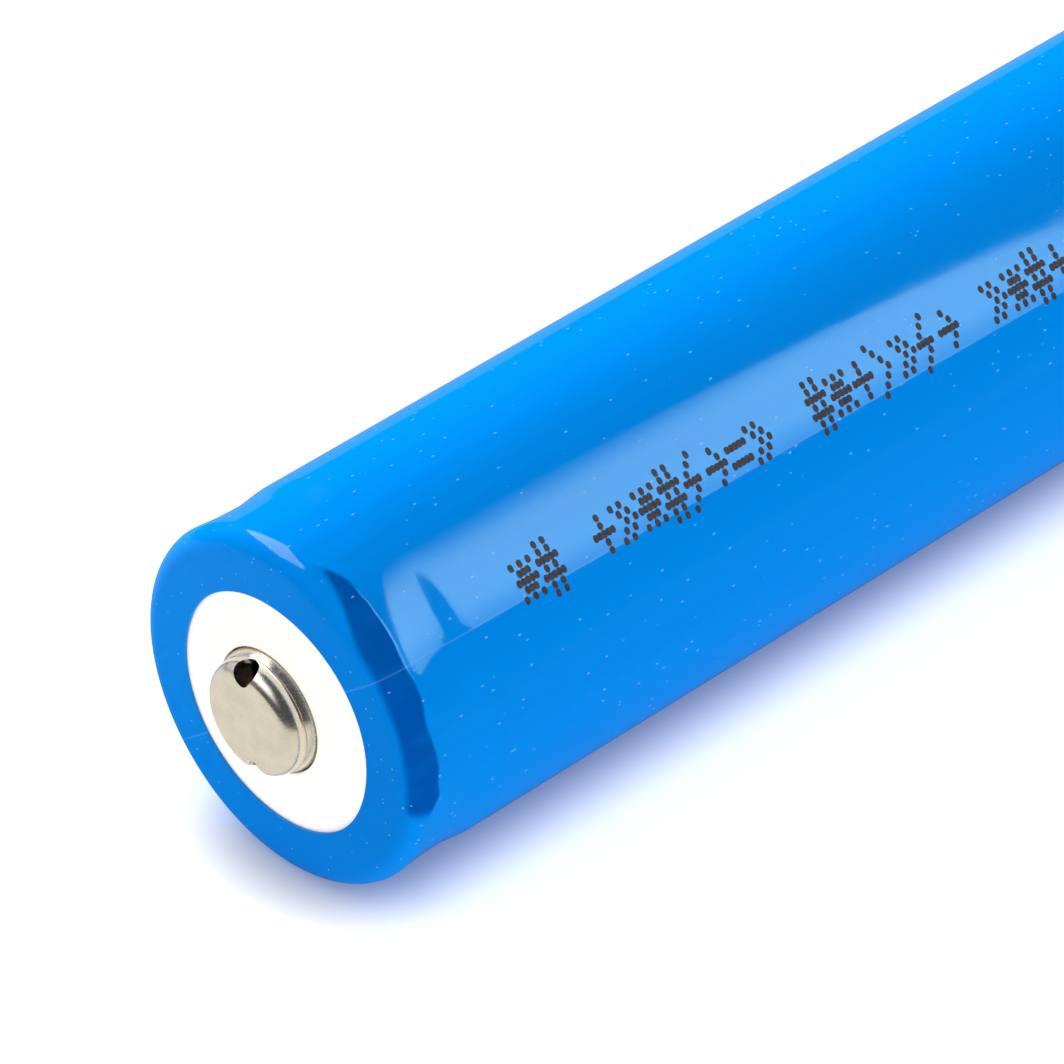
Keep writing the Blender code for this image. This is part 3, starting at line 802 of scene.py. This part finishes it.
def emitter(name, shape, strength, pattern, receivers, tint):
    """A soft light that only shines in its receivers' reflections. shape(across, up) gives its surface
    and strength times pattern(across, up) its brightness there, with across and up from 0 to 1."""
    count = 24
    points = []
    glow = []
    for i in range(count + 1):
        for j in range(count + 1):
            points.append(shape(i / count, j / count) * MM)
            glow.append(strength * pattern(i / count, j / count))
    faces = []
    for i in range(count):
        for j in range(count):
            low = i * (count + 1) + j
            faces.append((low, low + count + 1, low + count + 2, low + 1))
    mesh = bpy.data.meshes.new(name)
    mesh.from_pydata(points, [], faces)
    layer = mesh.attributes.new("glow", "FLOAT", "POINT")
    layer.data.foreach_set("value", glow)
    light = add_object(name, mesh)
    material = bpy.data.materials.new(name)
    material.use_nodes = True
    tree = material.node_tree
    tree.nodes.clear()
    amount = add_node(tree, "ShaderNodeAttribute", attribute_name="glow")
    shine = add_node(tree, "ShaderNodeEmission")
    shine.inputs["Color"].default_value = (*tint, 1.0)
    clear = add_node(tree, "ShaderNodeBsdfTransparent")
    both = add_node(tree, "ShaderNodeAddShader")
    end = add_node(tree, "ShaderNodeOutputMaterial")
    tree.links.new(amount.outputs["Fac"], shine.inputs["Strength"])
    tree.links.new(shine.outputs["Emission"], both.inputs[0])
    tree.links.new(clear.outputs["BSDF"], both.inputs[1])
    tree.links.new(both.outputs["Shader"], end.inputs["Surface"])
    mesh.materials.append(material)
    light.visible_camera = False
    light.visible_diffuse = False
    light.visible_shadow = False
    link_light(light, receivers)


def make_floor():
    """A white sheet that the camera sees. Reflections show the lights' own floor instead."""
    mesh = bpy.data.meshes.new("floor")
    corners = [(-1, -1), (1, -1), (1, 1), (-1, 1)]
    points = [(x * FLOOR_HALF * MM, y * FLOOR_HALF * MM, FLOOR_LEVEL * MM) for x, y in corners]
    mesh.from_pydata(points, [], [(0, 1, 2, 3)])
    sheet = add_object("floor", mesh)
    material, tree, shader = new_material("white_floor", (0.93, 0.93, 0.93), 0.9)
    shader.inputs["Specular IOR Level"].default_value = 0.1
    shader.inputs["Emission Color"].default_value = (1.0, 1.0, 1.0, 1.0)
    tree.links.new(floor_glow(tree), shader.inputs["Emission Strength"])
    mesh.materials.append(material)
    sheet.visible_glossy = False


def floor_glow(tree):
    """The floor's own light, which fades to little near the line where the cell touches it: a painted
    contact shadow.
    """
    folded = add_node(tree, "ShaderNodeVectorMath", operation="ABSOLUTE")
    tree.links.new(cell_position(tree), folded.inputs[0])
    past = add_node(tree, "ShaderNodeVectorMath", operation="SUBTRACT")
    tree.links.new(folded.outputs[0], past.inputs[0])
    past.inputs[1].default_value = (0.0, BODY_LENGTH / 2 - 5.0, 0.0)
    outside = add_node(tree, "ShaderNodeVectorMath", operation="MAXIMUM")
    tree.links.new(past.outputs[0], outside.inputs[0])
    outside.inputs[1].default_value = (0.0, 0.0, 0.0)
    distance = add_node(tree, "ShaderNodeVectorMath", operation="LENGTH")
    tree.links.new(outside.outputs[0], distance.inputs[0])
    return remap(tree, distance.outputs["Value"], *FLOOR_FADE, *FLOOR_GLOW)


def even(across, up):
    """The same brightness everywhere."""
    return 1.0


def fading_up(across, up):
    """Dimmer at the lower edge, and fading out towards the upper one."""
    return (0.5 + 0.5 * smooth(0.0, 0.22, up)) * (1 - smooth(0.5, 0.97, up))


def fading_across(across, up):
    """Full from the left edge, and dim from near the middle to the right."""
    return 1 - 0.7 * smooth(0.39, 0.46, across)


def room(across, up):
    """A dim room with a pale wall to the left and a light high up in front of the positive end."""
    wall = band(across, 0.36, 0.44, 0.62, 0.68) * (1 - smooth(0.25, 0.45, up))
    front = band(across, 0.55, 0.61, 0.77, 0.83) * band(up, 0.24, 0.36, 0.62, 0.75)
    return ROOM_GLOW + WALL_GLOW * wall + FRONT_GLOW * front


def soft_sun(name, towards, energy, receivers):
    """Wide, even light from one side, which doesn't show in reflections."""
    data = bpy.data.lights.new(name, "SUN")
    data.energy = energy
    data.angle = SUN_WIDTH
    sun = add_object(name, data)
    sun.rotation_euler = Vector(towards).to_track_quat("Z", "Y").to_euler()
    sun.visible_glossy = False
    link_light(sun, receivers)


def link_light(light, receivers):
    """Lets a light fall on its receivers alone."""
    lit = bpy.data.collections.new(light.name + "_receivers")
    for receiver in receivers:
        lit.objects.link(receiver)
    light.light_linking.receiver_collection = lit


def make_lights(film, washer, metal):
    """Emitters that show in the film or in the metal, suns for the film and the washer, and a soft sky."""
    floor_side = 2 * SEEN_FLOOR_HALF
    ground = (
        (-SEEN_FLOOR_HALF, -SEEN_FLOOR_HALF, SEEN_FLOOR_LEVEL),
        (floor_side, 0.0, 0.0),
        (0.0, floor_side, 0.0),
    )
    glossy = [film, washer]
    white = (1.0, 1.0, 1.0)
    # Name, shape, strength, pattern, what reflects it, and tint. Emitters in the same place would hide
    # each other, so the ones for metal are scaled a little.
    for settings in (
        ("right_softbox_on_film", panel(RIGHT_SOFTBOX), SOFTBOX_IN_FILM, fading_up, glossy, COOL_TINT),
        ("right_softbox_on_metal", panel(RIGHT_SOFTBOX, 1.05), SOFTBOX_IN_METAL, fading_up, metal, white),
        ("left_softbox_on_film", panel(LEFT_SOFTBOX), SOFTBOX_IN_FILM, even, glossy, white),
        ("left_softbox_on_metal", panel(LEFT_SOFTBOX, 1.05), SOFTBOX_IN_METAL, even, metal, white),
        ("floor_in_film", panel(ground), FLOOR_IN_FILM, fading_across, glossy, white),
        ("floor_in_metal", panel(ground, 0.99), FLOOR_IN_METAL, even, metal, white),
        ("room_in_metal", dome, 1.0, room, metal, ROOM_TINT),
    ):
        emitter(*settings)

    soft_sun("left_light", *LEFT_SUN, glossy)
    soft_sun("right_light", *RIGHT_SUN, glossy)
    soft_sun("front_light", *FRONT_SUN, [washer])

    world = bpy.data.worlds.new("studio")
    world.use_nodes = True
    tree = world.node_tree
    background = tree.nodes["Background"]
    background.inputs["Color"].default_value = (1.0, 1.0, 1.0, 1.0)
    direction = add_node(tree, "ShaderNodeTexCoord")
    lean = add_node(tree, "ShaderNodeVectorMath", operation="DOT_PRODUCT")
    tree.links.new(direction.outputs["Generated"], lean.inputs[0])
    lean.inputs[1].default_value = SKY_LEAN
    level = add_node(tree, "ShaderNodeMath", operation="ADD")
    tree.links.new(lean.outputs["Value"], level.inputs[0])
    level.inputs[1].default_value = SKY_LEVEL
    tree.links.new(level.outputs[0], background.inputs["Strength"])
    world.cycles_visibility.glossy = False
    bpy.context.scene.world = world
    bpy.context.scene.view_settings.view_transform = "Standard"


make_camera()
film = make_film()
washer = make_washer()
cap = make_cap()
ink = make_print()
finish_inner_pieces()
make_floor()
make_lights(film, washer, [cap, ink, frame["nodes"]["steel_can"]])
